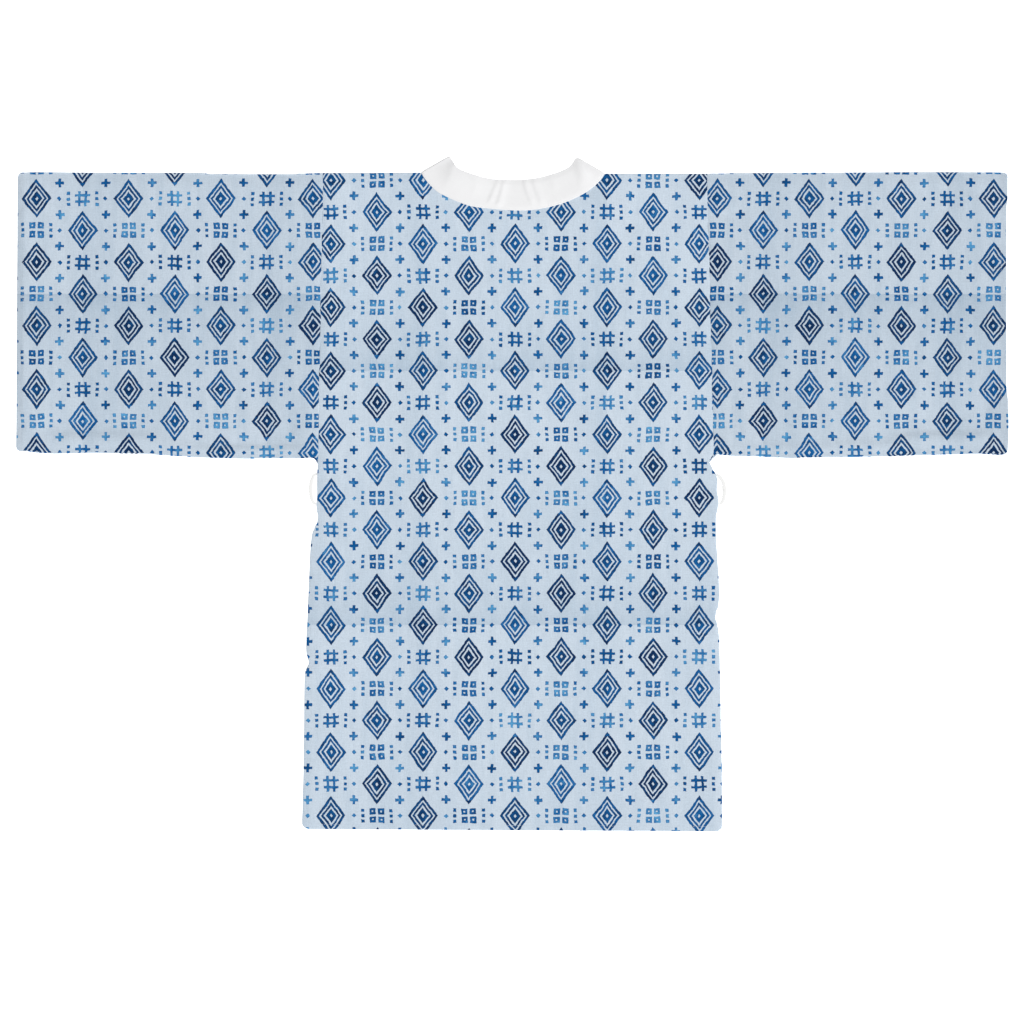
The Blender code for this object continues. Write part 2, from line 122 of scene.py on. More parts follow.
# The sleeves' lower edges: rows of distance x and edge y
SLEEVE_LOW_LEFT = np.array([
    (-0.6780, 0.0568), (-0.6627, 0.0562), (-0.6490, 0.0545), (-0.6284, 0.0532),
    (-0.5735, 0.0543), (-0.5255, 0.0534), (-0.4980, 0.0528), (-0.4843, 0.0514),
    (-0.4569, 0.0499), (-0.4294, 0.0482), (-0.4157, 0.0476), (-0.3608, 0.0463),
    (-0.3334, 0.0469), (-0.2925, 0.0468), (-0.2785, 0.0476), (-0.2744, 0.0478), (-0.2717, 0.0470),
    (-0.2690, 0.0449), (-0.2668, 0.0408), (-0.2655, 0.0374)])
SLEEVE_LOW_RIGHT = np.array([
    (0.2700, 0.0400), (0.2716, 0.0426), (0.2760, 0.0475), (0.2818, 0.0521), (0.2881, 0.0516),
    (0.3018, 0.0501), (0.3293, 0.0497), (0.3567, 0.0484), (0.3842, 0.0471), (0.3979, 0.0481),
    (0.4528, 0.0486), (0.5076, 0.0493), (0.5488, 0.0508), (0.5762, 0.0515), (0.6037, 0.0523),
    (0.6350, 0.0528), (0.6448, 0.0530), (0.6560, 0.0524), (0.6654, 0.0514), (0.6780, 0.0524)])

# Neck and band: the seam round the back of the neck, the band's free edge above it, and the
# tips where the band folds over the shoulders
NECK_SEAM = np.array([
    (-0.1236, 0.4380), (-0.1206, 0.4316), (-0.1096, 0.4190), (-0.0987, 0.4103),
    (-0.0767, 0.3998), (-0.0548, 0.3925), (-0.0274, 0.3892), (0.0000, 0.3870),
    (0.0274, 0.3876), (0.0548, 0.3924), (0.0767, 0.3994), (0.0987, 0.4100),
    (0.1123, 0.4197), (0.1206, 0.4279), (0.1262, 0.4365)])
FREE_EDGE = np.array([
    (-0.0822, 0.4554), (-0.0767, 0.4471), (-0.0713, 0.4430), (-0.0658, 0.4406),
    (-0.0548, 0.4367), (-0.0384, 0.4320), (-0.0219, 0.4295), (0.0000, 0.4287),
    (0.0219, 0.4297), (0.0384, 0.4322), (0.0548, 0.4367), (0.0658, 0.4404),
    (0.0767, 0.4456), (0.0822, 0.4510), (0.0863, 0.4574)])
PEAKS = {-1: np.array((-0.0856, 0.4625)), 1: np.array((0.0896, 0.4607))}
BAND_SHOULDER_X = 0.1275
BAND_CENTRE_GAP = 0.0060
BAND_WIDTH = 0.0500
BAND_BEND_R = 0.0600
BAND_LOW_Z = BAND_CLOTH / 2
BAND_FOLD_R = 0.0013
BAND_PRESSED = 0.62
BAND_PRESSED_REACH = 0.0040
SEAM_PULL = 0.55
SEAM_PULL_REACH = 0.0032
BAND_HIGH_Z = BAND_LOW_Z + 2 * BAND_FOLD_R
SEAM_TUCK = 0.0008

# Belt loops: middle, half height and bulge of each, and the two strands of thread
LOOPS = {-1: (0.0052, 0.0206, 0.0083), 1: (0.0045, 0.0200, 0.0085)}
LOOP_Z = 0.0008
LOOP_TURNS = 9
STRAND_R = 0.0024
TWIST_R = 0.0007
STRAND_FLATNESS = 0.08
STRAND_END_WIDTH = 0.40

# Heights of the panels
FRONT_TOP = 0.0012
BACK_UNDER = FRONT_TOP + SEAM_GAP
BACK_WALL = 0.0012
BAND_LIFT = BAND_CLOTH + SEAM_GAP - BACK_UNDER
BAND_LIFT_FULL = 0.0300
BAND_LIFT_END = 0.0900
SLEEVE_EDGE_R = 0.00145
ARM_TUCK = 0.0016
ARM_TUCK_DROP = 0.0011
AIR = 0.0006
AIR_EDGE = 0.0140
LAYERS_MEET = -0.0015
SHOULDER_FALL = (0.019, 0.0005)
FOLD_FALL = (0.018, 0.0007)
CUFF_FALL_REACH = 0.010
CUFF_FALL = {-1: 0.0005, 1: -0.0004}
SEAM_DIP = 0.0003
SEAM_DIP_REACH = 0.0022
FRONT_LIFT = 0.0009
SLEEVE_LIFT = 0.0003

# Puckers along the seams: height, reach from the seam and length of a ripple
PUCKERS = {
    "side": (0.0005, 0.009, 0.016), "neck": (0.0003, 0.008, 0.013),
    "armhole": (0.0006, 0.009, 0.015), "underarm": (0.0003, 0.008, 0.017),
    "cuff": (0.0002, 0.008, 0.018)}

# The print's repeat and the places of its edges on the body and on the sleeves
REPEAT_X = 0.2524
REPEAT_Y = 0.3484
BODY_REPEAT = (-0.1220, -0.1814)
SLEEVE_REPEAT = {-1: (-0.3360, 0.2727), 1: (0.3444, 0.2727)}

# Creases: where each starts and ends, its bow, the step up on its left side, how soft the step
# is at its foot, how far it goes on rising, and how far off the cloth is level again. Left is
# as seen from the start towards the end.
CLOTH_CREASES = np.array([
    # Left sleeve: cuff, lower edge, underarm, armhole
    (-0.679, 0.379, -0.632, 0.404, 0.004, -0.0012, 0.0012, 0.0045, 0.016),
    (-0.679, 0.152, -0.640, 0.106, 0.006, 0.0012, 0.0016, 0.0080, 0.024),
    (-0.646, 0.104, -0.606, 0.084, 0.004, 0.0011, 0.0016, 0.0090, 0.026),
    (-0.476, 0.0826, -0.652, 0.0838, 0.000, 0.0034, 0.0022, 0.0060, 0.024),
    (-0.410, 0.0650, -0.500, 0.0815, 0.003, 0.0014, 0.0018, 0.0050, 0.020),
    (-0.276, 0.0648, -0.430, 0.0640, 0.000, 0.0028, 0.0012, 0.0036, 0.014),
    (-0.298, 0.0800, -0.350, 0.0780, 0.001, 0.0006, 0.0016, 0.0045, 0.018),
    (-0.272, 0.1010, -0.314, 0.0760, -0.003, 0.0012, 0.0012, 0.0060, 0.020),
    (-0.346, 0.401, -0.306, 0.392, 0.002, -0.0006, 0.0012, 0.0045, 0.016),
    (-0.314, 0.393, -0.262, 0.385, 0.003, -0.0010, 0.0012, 0.0050, 0.018),
    (-0.298, 0.358, -0.264, 0.363, -0.002, 0.0006, 0.0012, 0.0045, 0.016),
    (-0.288, 0.331, -0.262, 0.321, 0.001, -0.0006, 0.0012, 0.0045, 0.016),
    # Right sleeve: underarm, lower edge, cuff, armhole
    (0.316, 0.0760, 0.270, 0.1000, -0.003, 0.0012, 0.0012, 0.0060, 0.020),
    (0.452, 0.0684, 0.310, 0.0660, 0.000, 0.0014, 0.0016, 0.0042, 0.016),
    (0.540, 0.0730, 0.435, 0.0700, 0.000, 0.0020, 0.0018, 0.0048, 0.018),
    (0.664, 0.0840, 0.515, 0.0818, -0.002, 0.0050, 0.0022, 0.0060, 0.022),
    (0.678, 0.1400, 0.642, 0.0880, -0.006, 0.0012, 0.0016, 0.0080, 0.024),
    (0.613, 0.411, 0.679, 0.375, 0.006, -0.0012, 0.0012, 0.0050, 0.018),
    (0.640, 0.373, 0.676, 0.353, 0.003, -0.0006, 0.0012, 0.0045, 0.016),
    (0.266, 0.379, 0.320, 0.391, -0.003, 0.0010, 0.0012, 0.0050, 0.018),
    (0.272, 0.352, 0.308, 0.357, -0.002, 0.0006, 0.0012, 0.0045, 0.016),
    # Body: from the armholes inward, then along the side seams and below the neck
    (-0.250, 0.256, -0.194, 0.277, 0.003, 0.0009, 0.0012, 0.0055, 0.020),
    (-0.258, 0.164, -0.208, 0.248, 0.006, 0.0009, 0.0014, 0.0065, 0.024),
    (-0.248, 0.118, -0.224, 0.152, 0.003, 0.0006, 0.0014, 0.0055, 0.020),
    (0.252, 0.256, 0.200, 0.277, -0.003, -0.0009, 0.0012, 0.0055, 0.020),
    (0.268, 0.166, 0.222, 0.242, -0.006, -0.0009, 0.0014, 0.0065, 0.024),
    (0.204, 0.370, 0.254, 0.356, 0.003, -0.0008, 0.0012, 0.0055, 0.020),
    (-0.260, -0.010, -0.230, -0.042, 0.002, 0.0006, 0.0012, 0.0045, 0.016),
    (0.236, -0.022, 0.270, 0.020, -0.002, 0.0006, 0.0012, 0.0045, 0.016),
    (-0.277, -0.232, -0.238, -0.238, 0.002, -0.0008, 0.0012, 0.0045, 0.016),
    (0.238, -0.160, 0.276, -0.172, 0.002, -0.0008, 0.0012, 0.0045, 0.016),
    (-0.150, 0.372, -0.116, 0.402, 0.003, 0.0004, 0.0016, 0.0060, 0.022),
    (0.116, 0.400, 0.150, 0.366, 0.003, -0.0004, 0.0016, 0.0060, 0.022),
    (-0.270, -0.332, -0.222, -0.322, 0.003, -0.0004, 0.0016, 0.0060, 0.022),
    (0.230, -0.296, 0.274, -0.310, 0.003, -0.0004, 0.0016, 0.0060, 0.022)])
CREASE_HOLLOW = 0.60

# Creases of the band: two pairs at the back of the neck and a faint one beside each. Its rolls
# over the shoulders: up to a ridge on the left, and up from a foot on the right.
BAND_CREASES = np.array([
    (-0.0200, 0.4330, -0.0352, 0.3970, 0.0004, 0.0014, 0.0011, 0.0030, 0.0080),
    (-0.0120, 0.4330, -0.0243, 0.3910, 0.0006, 0.0017, 0.0011, 0.0030, 0.0080),
    (0.0138, 0.4330, 0.0268, 0.3930, -0.0026, 0.0017, 0.0011, 0.0030, 0.0080),
    (0.0245, 0.4320, 0.0392, 0.3925, -0.0005, 0.0015, 0.0011, 0.0030, 0.0080),
    (-0.0524, 0.4400, -0.0560, 0.4080, 0.0000, 0.0005, 0.0015, 0.0030, 0.0110),
    (0.0485, 0.4400, 0.0557, 0.4150, 0.0000, 0.0006, 0.0015, 0.0030, 0.0110)])
ROLL_HEIGHT = 0.0030
BAND_ROLLS = np.array([
    (-0.1145, 0.3700, -0.0478, 0.5200, 0.0, -ROLL_HEIGHT, 0.0016, 0.0100, 1.0),
    (0.0774, 0.4780, 0.0952, 0.4100, 0.0, 0.0044, 0.0020, 0.0085, 0.0340)])


def shown(red, green, blue):
    """The cloth colour that looks like a colour of the screen, 0 to 255, in the scene's light."""
    values = []
    for level in (red, green, blue):
        share = level / 255
        value = share / 12.92 if share <= 0.04045 else ((share + 0.055) / 1.055) ** 2.4
        values.append(value / LIGHT_LEVEL)
    return (*values, 1.0)


def ease(share):
    share = np.clip(share, 0.0, 1.0)
    return share * share * (3.0 - 2.0 * share)


def edge_at(table, at):
    """The edge at one or more places, eased between the rows of a table."""
    at = np.asarray(at, float)
    index = np.clip(np.searchsorted(table[:, 0], at) - 1, 0, len(table) - 2)
    low, high = table[index], table[index + 1]
    share = ease((at - low[..., 0]) / (high[..., 0] - low[..., 0]))
    return low[..., 1] + (high[..., 1] - low[..., 1]) * share


def hem_y(x):
    half = SIDE_RIGHT[0, 1]
    return HEM_LEFT_Y + (HEM_RIGHT_Y - HEM_LEFT_Y) * (x + half) / (2 * half)


def corner_drop(distance, radius):
    reach = radius - np.clip(distance, 0.0, radius)
    return radius - np.sqrt(radius ** 2 - reach ** 2)


def swell(x, y, size, seed):
    """A soft, uneven swell between -1 and 1, made of a few waves in chosen directions."""
    rng = np.random.default_rng(seed)
    total = 0.0
    for _ in range(6):
        turn, phase, stretch = rng.uniform((0, 0, 0.7), (math.pi, 2 * math.pi, 1.5))
        along = x * math.cos(turn) + y * math.sin(turn)
        total = total + np.sin(2 * math.pi * along / (size * stretch) + phase)
    return total / 6


def crease_relief(x, y, creases, hollow=0.0):
    """What a table's creases add to the cloth's height: steps, each behind a shallow hollow."""
    relief = np.zeros_like(x)
    for x0, y0, x1, y1, bow, step, soft, fade, reach in creases:
        length = math.hypot(x1 - x0, y1 - y0)
        along_x, along_y = (x1 - x0) / length, (y1 - y0) / length
        along = ((x - x0) * along_x + (y - y0) * along_y) / length
        side = (y - y0) * along_x - (x - x0) * along_y
        side = side - bow * np.sin(np.clip(along, 0.0, 1.0) * math.pi)
        rise = soft * np.logaddexp(0.0, side / soft)
        present = ease((along + 0.08) / 0.30) * ease((1.08 - along) / 0.30)
        stepped = (1.0 - np.exp(-rise / fade)) * np.exp(-((rise / reach) ** 2))
        relief += step * present * (stepped - hollow * np.exp(-((side / (1.5 * reach)) ** 2)))
    return relief


def pucker(along, away, seed, height, reach, length):
    """Short ripples that run out from a seam and die away over its reach."""
    rng = np.random.default_rng(seed)
    knots = np.arange(math.floor(along.min() / length) - 1, math.ceil(along.max() / length) + 2)
    sizes = rng.uniform(0.2, 1.0, len(knots)) * np.where(np.arange(len(knots)) % 2, 1.0, -0.7)
    shift = rng.uniform(-0.3, 0.3, len(knots))
    wave = np.interp(along / length, knots + shift, sizes)
    return height * wave * np.exp(-(away / reach) ** 2)


def grid_faces(rows, columns, closed_rows=False):
    """Faces of a grid of points, row by row. A closed grid joins its last row to its first."""
    faces = []
    for row in range(rows if closed_rows else rows - 1):
        below = row * columns
        above = ((row + 1) % rows) * columns
        for column in range(columns - 1):
            faces.append((below + column, below + column + 1, above + column + 1, above + column))
    return faces


def grid_object(name, points, cloth_map, closed_rows=False):
    """A smooth mesh over a grid of points, with the cloth map as its UVs.

    The grid has a row of points after another; cloth_map has one more row when it is closed.
    """
    rows, columns = points.shape[:2]
    mesh = bpy.data.meshes.new(name)
    faces = grid_faces(rows, columns, closed_rows)
    mesh.from_pydata(points.reshape(-1, 3).tolist(), [], faces)
    layer = mesh.uv_layers.new(name="Cloth")
    corners = np.array(faces)
    if closed_rows:
        wrap = corners < np.array(corners)[:, :1] - columns
        corners = np.where(wrap, corners + rows * columns, corners)
    uvs = cloth_map.reshape(-1, 2)[corners.reshape(-1)]
    layer.data.foreach_set("uv", uvs.astype(np.float32).ravel())
    mesh.shade_smooth()
    return placed(name, mesh)


def thicken(piece, wall, offset):
    solid = piece.modifiers.new("wall", "SOLIDIFY")
    solid.thickness = wall
    solid.offset = offset
    solid.use_even_offset = False
    return piece


def placed(name, data):
    """A new object of the scene that holds some data."""
    piece = bpy.data.objects.new(name, data)
    bpy.context.scene.collection.objects.link(piece)
    return piece


def tube_faces(first, rings, sides):
    """Faces of a tube of rings, whose points start at the first number, and its two ends."""
    faces = []
    for ring in range(rings - 1):
        for corner in range(sides):
            nearby = (corner + 1) % sides
            base = first + ring * sides
            faces.append((base + corner, base + nearby, base + sides + nearby, base + sides + corner))
    last = first + (rings - 1) * sides
    return faces + [tuple(range(first, first + sides)), tuple(range(last, last + sides))[::-1]]


def dress(piece, material, nodes=()):
    """A piece's finish, its body and the solids that it stands for."""
    piece.data.materials.clear()
    piece.data.materials.append(material)
    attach(piece, "root")
    if nodes:
        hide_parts(*nodes)
    return piece


class Graph:
    """Shader nodes written as sums: a value is a number or another node's output."""

    def __init__(self, name):
        self.material = bpy.data.materials.new(name)
        self.material.use_nodes = True
        self.tree = self.material.node_tree
        self.shader = self.tree.nodes["Principled BSDF"]

    def node(self, kind, **settings):
        node = self.tree.nodes.new(kind)
        for key, value in settings.items():
            setattr(node, key, value)
        return node

    def put(self, socket, value):
        if isinstance(value, bpy.types.NodeSocket):
            self.tree.links.new(value, socket)
        else:
            socket.default_value = value

    def math(self, operation, *values, clamp=False):
        node = self.node("ShaderNodeMath", operation=operation, use_clamp=clamp)
        for socket, value in zip(node.inputs, values):
            self.put(socket, value)
        return node.outputs[0]

    def add(self, *values):
        total = values[0]
        for value in values[1:]:
            total = self.math("ADD", total, value)
        return total

    def sub(self, a, b):
        return self.math("SUBTRACT", a, b)

    def mul(self, a, b):
        return self.math("MULTIPLY", a, b)

    def swing(self, noise, amount):
        """How far a noise is from its middle, times an amount."""
        return self.mul(self.sub(noise, 0.5), amount)

    def least(self, *values):
        least = values[0]
        for value in values[1:]:
            least = self.math("MINIMUM", least, value)
        return least

    def most(self, *values):
        most = values[0]
        for value in values[1:]:
            most = self.math("MAXIMUM", most, value)
        return most

    def away(self, a, b):
        """The distance between two values."""
        return self.math("ABSOLUTE", self.sub(a, b))

    def pair(self, x, y, z=0.0):
        node = self.node("ShaderNodeCombineXYZ")
        for socket, value in zip(node.inputs, (x, y, z)):
            self.put(socket, value)
        return node.outputs[0]

    def split(self, vector):
        node = self.node("ShaderNodeSeparateXYZ")
        self.put(node.inputs[0], vector)
        return node.outputs[0], node.outputs[1]

    def noise(self, vector, scale, detail=2.0, roughness=0.5, colour=False):
        node = self.node("ShaderNodeTexNoise")
        self.put(node.inputs["Vector"], vector)
        node.inputs["Scale"].default_value = scale
        node.inputs["Detail"].default_value = detail
        node.inputs["Roughness"].default_value = roughness
        return node.outputs["Color" if colour else "Fac"]

    def ramp(self, value, low, high, to_low=0.0, to_high=1.0, smooth=True):
        node = self.node("ShaderNodeMapRange")
        node.interpolation_type = "SMOOTHSTEP" if smooth else "LINEAR"
        for socket, number in zip(node.inputs, (value, low, high, to_low, to_high)):
            self.put(socket, number)
        return node.outputs[0]

    def blend(self, share, a, b, kind="MIX"):
        node = self.node("ShaderNodeMix", data_type="RGBA", blend_type=kind)
        self.put(node.inputs["Factor"], share)
        for socket, value in zip([s for s in node.inputs if s.type == "RGBA"], (a, b)):
            self.put(socket, value)
        return [s for s in node.outputs if s.type == "RGBA"][0]

    def tint(self, colour, level):
        """Gives the surface a colour times a level."""
        shade = self.blend(1.0, colour, self.pair(level, level, level), kind="MULTIPLY")
        self.put(self.shader.inputs["Base Color"], shade)

    def cloth_map(self):
        return self.node("ShaderNodeUVMap", uv_map="Cloth").outputs[0]


# Ink and cloth colours, as the screen shows them
INK_DARK = shown(0, 42, 86)
INK_MIDDLE = shown(10, 92, 156)
INK_LIGHT = shown(92, 164, 212)
BODY_GROUND = (shown(207, 220, 233), shown(181, 199, 216))
SLEEVE_GROUND = (shown(201, 214, 227), shown(172, 190, 207))
BAND_COLOUR = shown(241, 241, 242)
LOOP_COLOUR = shown(246, 246, 245)
THREAD_COLOUR = shown(212, 223, 233)
# Painted shade of the cuffs' rims: the share of the sleeve colour left at the cuff, and how far in from
# the cuff the darkening starts and becomes full
CUFF_PAINTED_SHADE = 0.93
CUFF_PAINTED_SHADE_REACH = (0.0120, 0.0050)

# The print: lozenges in a half drop, with a crib or four squares between two of them,
# crosses between the columns and small squares beside the cribs
COLUMN = REPEAT_X / 4
ROW = REPEAT_Y / 4
LOZENGE = (0.0205, 0.0275)
LOZENGE_SIZE = LOZENGE[0] * LOZENGE[1] / math.hypot(*LOZENGE)
LOZENGE_LINE = 0.0017
INNER_LINE_AT = 0.0066
INNER_LINE = 0.0014
CORE = (0.0016, 0.0062)
CRIB_BAR = (0.0017, 0.0104)
CRIB_BAR_AT = 0.0044
EYE = 0.0043
EYE_HOLE = 0.0011
EYE_AT = 0.0058
CROSS_BAR = (0.0060, 0.0019)
SQUARE = 0.0022
SQUARE_AT = (0.0196, 0.0076)
DOT = 0.0033
ASIDE_X = 0.0236
INK_EDGE = 0.0003


def bar(g, x, y, half_x, half_y):
    """Distance to a box round the origin; x and y are distances already."""
    return g.most(g.sub(x, half_x), g.sub(y, half_y))


def print_distance(g, s, t):
    """Signed distance to the printed shapes, below 0 inside; a number for each shape; and
    how much it is a lozenge."""
    column = g.math("FLOOR", g.add(g.mul(s, 1 / COLUMN), 0.5))
    odd = g.math("FLOORED_MODULO", column, 2.0)
    dropped = g.add(t, g.mul(odd, ROW / 2))
    x = g.math("PINGPONG", s, COLUMN / 2)
    y = g.math("PINGPONG", dropped, ROW / 2)
    beyond = g.sub(ROW / 2, y)
    between = g.sub(COLUMN / 2, x)

    size = g.mul(g.add(g.mul(x, 1 / LOZENGE[0]), g.mul(y, 1 / LOZENGE[1])), LOZENGE_SIZE)
    outer = g.sub(g.away(size, LOZENGE_SIZE - LOZENGE_LINE), LOZENGE_LINE)
    middle = g.sub(g.away(size, LOZENGE_SIZE - INNER_LINE_AT), INNER_LINE)
    core = g.most(g.sub(size, CORE[1]), g.sub(CORE[0], size))
    lozenge = g.least(outer, middle, core)

    crib = g.least(bar(g, g.away(x, CRIB_BAR_AT), beyond, *CRIB_BAR),
                   bar(g, x, g.away(beyond, CRIB_BAR_AT), *CRIB_BAR[::-1]))
    eye_x, eye_y = g.away(x, EYE_AT), g.away(beyond, EYE_AT)
    holes = bar(g, eye_x, eye_y, EYE_HOLE, EYE_HOLE)
    eyes = g.most(bar(g, eye_x, eye_y, EYE, EYE), g.mul(holes, -1.0))
    second = g.add(g.mul(crib, g.sub(1.0, odd)), g.mul(eyes, odd))

    level = g.away(y, ROW / 4)
    cross = g.least(bar(g, between, level, *CROSS_BAR), bar(g, between, level, *CROSS_BAR[::-1]))
    post = g.away(x, SQUARE_AT[0])
    squares = g.least(bar(g, post, beyond, SQUARE, SQUARE),
                      bar(g, post, g.away(beyond, SQUARE_AT[1]), SQUARE, SQUARE))
    dots = g.sub(g.add(between, g.least(y, beyond)), DOT)

    small = g.least(second, cross, squares, dots)
    row = g.math("FLOOR", g.add(g.mul(dropped, 2 / ROW), 0.5))
    aside = g.add(g.math("FLOOR", g.mul(s, 1 / COLUMN)), 0.5)
    aside_row = g.math("FLOOR", g.add(g.mul(t, 4 / ROW), 0.5))
    far = g.math("GREATER_THAN", x, ASIDE_X)
    near = g.sub(1.0, far)
    place = g.pair(g.add(g.mul(column, near), g.mul(aside, far)),
                   g.add(g.mul(row, near), g.mul(aside_row, far)))
    return g.least(lozenge, small), place, g.ramp(g.sub(small, lozenge), -0.001, 0.001)


def printed_cloth(name, grounds, cuffs=False):
    """Pale blue cotton with an indigo print, in the uneven tones of hand-brushed dye.

    With cuffs, its colour is darkened towards each cuff: painted shade of the cuff's rim.
    """
    g = Graph(name)
    cloth = g.cloth_map()
    s, t = g.split(cloth)
    slow_x, slow_y = g.split(g.noise(cloth, 42.0, 2.0, 0.5, colour=True))
    quick_x, quick_y = g.split(g.noise(cloth, 330.0, 1.0, 0.5, colour=True))
    drawn_s = g.add(s, g.swing(slow_x, 0.0046), g.swing(quick_x, 0.0016))
    drawn_t = g.add(t, g.swing(slow_y, 0.0046), g.swing(quick_y, 0.0016))
    distance, place, lozenge = print_distance(g, drawn_s, drawn_t)
    ink = g.ramp(distance, -INK_EDGE, INK_EDGE, 1.0, 0.0)

    # Density of the dye: the lozenges are darkest, each shape has its own, and it pools
    own = g.node("ShaderNodeTexWhiteNoise", noise_dimensions="2D")
    g.put(own.inputs["Vector"], place)
    pools = g.noise(cloth, 95.0, 2.0, 0.6)
    rim = g.ramp(distance, -0.0012, -0.0001, 0.0, 0.16)
    density = g.add(g.mul(own.outputs["Value"], 0.52), g.swing(pools, 1.10), g.mul(lozenge, 0.34),
                    rim, 0.14)
    light_half = g.blend(g.math("MULTIPLY", density, 2.0, clamp=True), INK_LIGHT, INK_MIDDLE)
    dark_share = g.math("MULTIPLY_ADD", density, 2.0, -1.0, clamp=True)
    dye = g.blend(dark_share, light_half, INK_DARK)

    # Ground: soft upright washes, and a darker tone that fades away from each repeat's edge
    wash = g.noise(g.pair(s, g.mul(t, 0.16)), 60.0, 3.0, 0.55)
    wash_share = g.ramp(wash, 0.34, 0.70, 0.0, 0.30)
    from_left = g.math("FLOORED_MODULO", g.mul(s, -1.0), REPEAT_X)
    from_below = g.math("FLOORED_MODULO", t, REPEAT_Y)
    left_tone = g.mul(g.math("EXPONENT", g.mul(from_left, -1 / 0.038)), 0.32)
    near_edge = g.mul(g.math("EXPONENT", g.mul(from_below, -1 / 0.016)), 0.26)
    low_tone = g.add(g.mul(g.math("EXPONENT", g.mul(from_below, -1 / 0.065)), 0.40), near_edge)
    tone = g.math("MULTIPLY", g.add(wash_share, left_tone, low_tone), 1.0, clamp=True)
    ground = g.blend(tone, *grounds)

    # Slubs: threads a little lighter or darker than their neighbours, both ways
    warp = g.noise(g.pair(s, g.mul(t, 0.08)), 780.0, 2.0, 0.6)
    weft = g.noise(g.pair(g.mul(s, 0.08), t), 780.0, 2.0, 0.6)
    grain = g.noise(cloth, 560.0, 3.0, 0.7)
    slub = g.add(g.swing(warp, 0.22), g.swing(weft, 0.18), g.swing(grain, 0.46), 1.0)
    dyed = g.blend(ink, ground, dye)
    # Painted shade of the cuff's rim: the colour darkens towards each cuff
    if cuffs:
        out_x = g.away(g.split(g.node("ShaderNodeTexCoord").outputs["Object"])[0], 0.0)
        start, full = (CUFF_X - reach for reach in CUFF_PAINTED_SHADE_REACH)
        slub = g.mul(slub, g.ramp(out_x, start, full, 1.0, CUFF_PAINTED_SHADE))
    g.tint(dyed, slub)
    g.put(g.shader.inputs["Roughness"], g.ramp(ink, 0.0, 1.0, 0.90, 0.84))
    g.shader.inputs["Specular IOR Level"].default_value = 0.12
    weave_bump(g, s, t, 0.00055, 0.00006, g.add(warp, weft), 0.00012)
    return g.material


def weave_bump(g, s, t, pitch, thread_height, slub, slub_height):
    """Plain weave: warp and weft threads that pass over each other in turn."""
    turn = 2 * math.pi / pitch
    warp = g.math("SINE", g.mul(s, turn))
    weft = g.math("SINE", g.mul(t, turn))
    height = g.add(g.mul(g.mul(warp, weft), thread_height), g.mul(slub, slub_height))
    bump = g.node("ShaderNodeBump")
    bump.inputs["Strength"].default_value = 0.6
    bump.inputs["Distance"].default_value = 1.0
    g.put(bump.inputs["Height"], height)
    g.put(g.shader.inputs["Normal"], bump.outputs[0])


def plain_cloth(name, colour, roughness):
    """Plain white cloth with a fine weave and faint uneven threads."""
    g = Graph(name)
    cloth = g.cloth_map()
    s, t = g.split(cloth)
    warp = g.noise(g.pair(s, g.mul(t, 0.05)), 520.0, 2.0, 0.6)
    weft = g.noise(g.pair(g.mul(s, 0.05), t), 520.0, 2.0, 0.6)
    cloudy = g.noise(cloth, 30.0, 2.0, 0.5)
    level = g.add(g.swing(warp, 0.024), g.swing(weft, 0.024), g.swing(cloudy, 0.016), 1.0)
    g.tint(colour, level)
    g.put(g.shader.inputs["Roughness"],
          g.ramp(cloudy, 0.3, 0.7, roughness - 0.05, roughness + 0.05))
    g.shader.inputs["Specular IOR Level"].default_value = 0.20
    weave_bump(g, s, t, 0.00042, 0.00004, g.add(warp, weft), 0.00008)
    return g.material


def thread_material(name, colour):
    """Spun thread: fine slanting fibres round the strand."""
    g = Graph(name)
    place = g.node("ShaderNodeTexCoord").outputs["Object"]
    fibres = g.noise(place, 2600.0, 2.0, 0.6)
    level = g.ramp(fibres, 0.3, 0.7, 0.93, 1.04)
    g.tint(colour, level)
    g.put(g.shader.inputs["Roughness"], g.ramp(fibres, 0.3, 0.7, 0.62, 0.78))
    g.shader.inputs["Specular IOR Level"].default_value = 0.15
    return g.material


def fold_side(sign):
    """Where the band folds over a shoulder: seam end, free end and the strip's direction."""
    peak = PEAKS[sign]
    across = peak - np.array((sign * BAND_SHOULDER_X, SHOULDER_Y))
    across = across / np.linalg.norm(across)
    upward = np.array((-across[1], across[0])) * -sign
    inset = BAND_FOLD_R + BAND_CLOTH / 2
    seam = NECK_SEAM[0 if sign < 0 else -1]
    seam = seam - upward * ((seam - peak) @ upward + inset)
    return seam, peak - upward * inset, upward


def front_seam(sign):
    """The band's seam up a front: straight, then an arc about a pivot, then slanting."""
    seam, free, upward = fold_side(sign)
    lean = math.atan2(abs(upward[0]), upward[1])
    straight_x = sign * (BAND_CENTRE_GAP + BAND_WIDTH)
    pivot_x = straight_x + sign * BAND_BEND_R
    head_x = pivot_x - sign * BAND_BEND_R * math.cos(lean)
    head_y = seam[1] - (seam[0] - head_x) * upward[1] / upward[0]
    pivot = np.array((pivot_x, head_y - BAND_BEND_R * math.sin(lean)))
    return straight_x, pivot, lean, np.array((head_x, head_y)), seam, free


def front_seam_x(sign, y):
    straight_x, pivot, _, head, seam, _ = front_seam(sign)
    rise = np.clip(y - pivot[1], 0.0, head[1] - pivot[1])
    bend = pivot[0] - sign * np.sqrt(BAND_BEND_R ** 2 - rise ** 2)
    slant = head[0] + (seam[0] - head[0]) * (y - head[1]) / (seam[1] - head[1])
    return np.where(y <= pivot[1], straight_x, np.where(y <= head[1], bend, slant))


def band_lift(x, y):
    """How far the band under it pushes the back up."""
    capped = np.minimum(y, SHOULDER_Y)
    away = np.where(x < 0, -(x - front_seam_x(-1, capped)), x - front_seam_x(1, capped))
    away = np.where(np.abs(x) <= BAND_CENTRE_GAP + BAND_WIDTH, 0.0, np.maximum(away, 0.0))
    return BAND_LIFT * (1.0 - ease((away - BAND_LIFT_FULL) / (BAND_LIFT_END - BAND_LIFT_FULL)))


